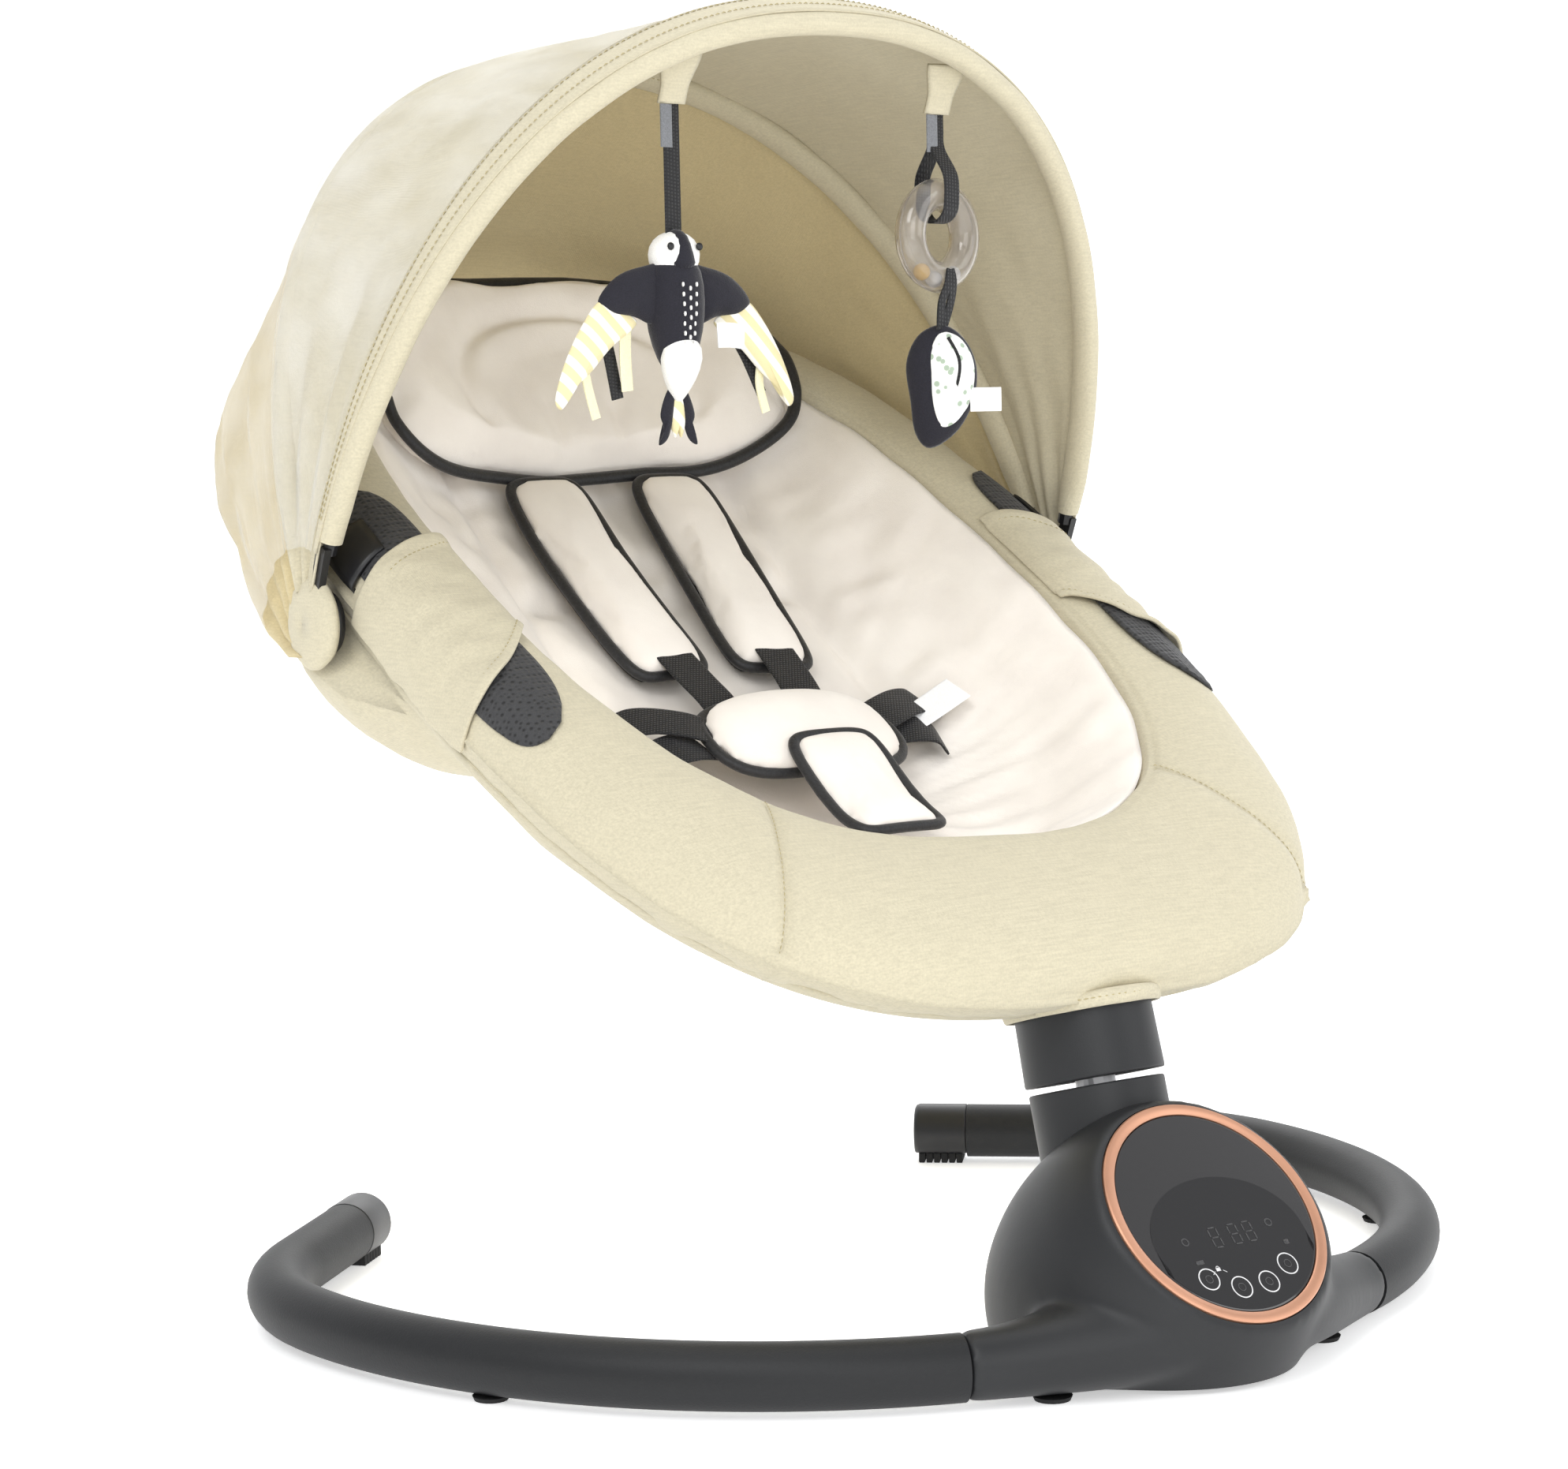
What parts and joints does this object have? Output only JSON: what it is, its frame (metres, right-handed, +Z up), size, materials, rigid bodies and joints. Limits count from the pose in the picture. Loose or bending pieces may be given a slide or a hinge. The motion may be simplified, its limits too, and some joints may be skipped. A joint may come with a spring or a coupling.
{
  "type": "baby swing",
  "caption": "Powered baby swing: C-shaped tube base with a motor housing and touch panel, tilted swing tower, reclined oval padded seat with harness, folding canopy and hanging toys.",
  "frame": {"origin": "centre of the bounding box's underside, on the floor plane", "axes": "+Z up; -Y is the foot end with the control panel; +Y is the head end; the swing is symmetric about X = 0 apart from its two toys"},
  "size_m": [0.6644, 0.7564, 0.6759],
  "materials": {
    "charcoal": "matte charcoal powder coat",
    "charcoal_plastic": "fine-grain matte charcoal",
    "rubber": "matte black",
    "steel": "plain machined",
    "copper_trim": "copper-coloured metallised trim",
    "black_glass": "glossy smoked black",
    "circuit_board": "green laminate",
    "brass": "plain machined",
    "linen": "beige melange woven fabric",
    "velour": "cream velour",
    "webbing": "black webbing and mesh",
    "clear_plastic": "clear, smoky",
    "plush_dark": "dark plush",
    "plush_light": "light printed plush",
    "bead_colour": "glossy coloured bead"
  },
  "bodies": {
    "base": {"leg_tube_left": "charcoal", "leg_cap_left": "charcoal_plastic", "cap_pad_left": "rubber", "leg_foot_left": "rubber", "housing_foot_left": "rubber", "leg_tube_right": "charcoal", "leg_cap_right": "charcoal_plastic", "cap_pad_right": "rubber", "leg_foot_right": "rubber", "housing_foot_right": "rubber", "housing_shell": "charcoal_plastic", "bottom_cover": "charcoal_plastic", "panel_ring": "copper_trim", "panel_glass": "black_glass", "display_board": "circuit_board", "speaker": "rubber", "swing_motor": "steel", "lower_bearing": "steel", "upper_bearing": "steel", "tower_sleeve": "charcoal_plastic", "power_jack": "rubber"},
    "motor_gear": {"motor_pinion": "brass"},
    "seat": {"swing_shaft": "steel", "drive_gear": "brass", "upper_tube": "charcoal_plastic", "seat_hub": "steel", "seat_frame": "steel", "cover_rim": "linen", "tower_collar": "linen", "under_shell": "linen", "side_sleeve_left": "linen", "side_sleeve_right": "linen", "liner_pad": "velour", "head_pillow": "velour", "shoulder_pad_left": "velour", "shoulder_pad_right": "velour", "belly_pad": "velour", "crotch_pad": "velour", "mesh_strip_left": "webbing", "mesh_strip_right": "webbing", "shoulder_strap_left": "webbing", "shoulder_strap_right": "webbing", "waist_strap_left": "webbing", "waist_strap_right": "webbing", "buckle": "charcoal_plastic", "canopy_clip_left": "charcoal_plastic", "canopy_clip_right": "charcoal_plastic"},
    "rear_bow": {"rear_bow": "charcoal_plastic", "canopy_rear": "linen"},
    "front_bow": {"front_bow": "charcoal_plastic", "canopy_front": "linen", "toy_loop_left": "linen", "toy_loop_right": "linen"},
    "bird": {"bird_strap": "webbing", "bird_toy": "plush_dark"},
    "rattle": {"rattle_strap": "webbing", "rattle_ring": "clear_plastic", "bead_yellow": "bead_colour", "bead_white": "bead_colour", "leaf_toy": "plush_light"}
  },
  "joints": [
    {"name": "swing", "type": "hinge", "parent": "base", "child": "seat", "pos_m": [0, -0.25, 0.127], "axis": [0, 0.2622, 0.965], "range_deg": [-12, 12]},
    {"name": "motor_spin", "type": "hinge", "parent": "base", "child": "motor_gear", "pos_m": [0.036, -0.25, 0.127], "axis": [0, 0.2622, 0.965], "range_deg": [-38, 38]},
    {"name": "rear_bow_fold", "type": "hinge", "parent": "seat", "child": "rear_bow", "pos_m": [0, 0.08064, 0.35359], "axis": [1, 0, 0], "range_deg": [-25, 0], "deforming": ["canopy_rear"]},
    {"name": "front_bow_fold", "type": "hinge", "parent": "rear_bow", "child": "front_bow", "pos_m": [0, 0.08064, 0.35359], "axis": [1, 0, 0], "range_deg": [-30, 0], "deforming": ["canopy_front"]},
    {"name": "bird_swing", "type": "hinge", "parent": "front_bow", "child": "bird", "pos_m": [-0.086, -0.023, 0.61669], "axis": [1, 0, 0], "range_deg": [-20, 20]},
    {"name": "rattle_swing", "type": "hinge", "parent": "front_bow", "child": "rattle", "pos_m": [0.086, -0.023, 0.61669], "axis": [1, 0, 0], "range_deg": [-20, 20]}
  ],
  "couplings": [
    {"joint": "motor_spin", "follows": "swing", "ratio": -3}
  ]
}
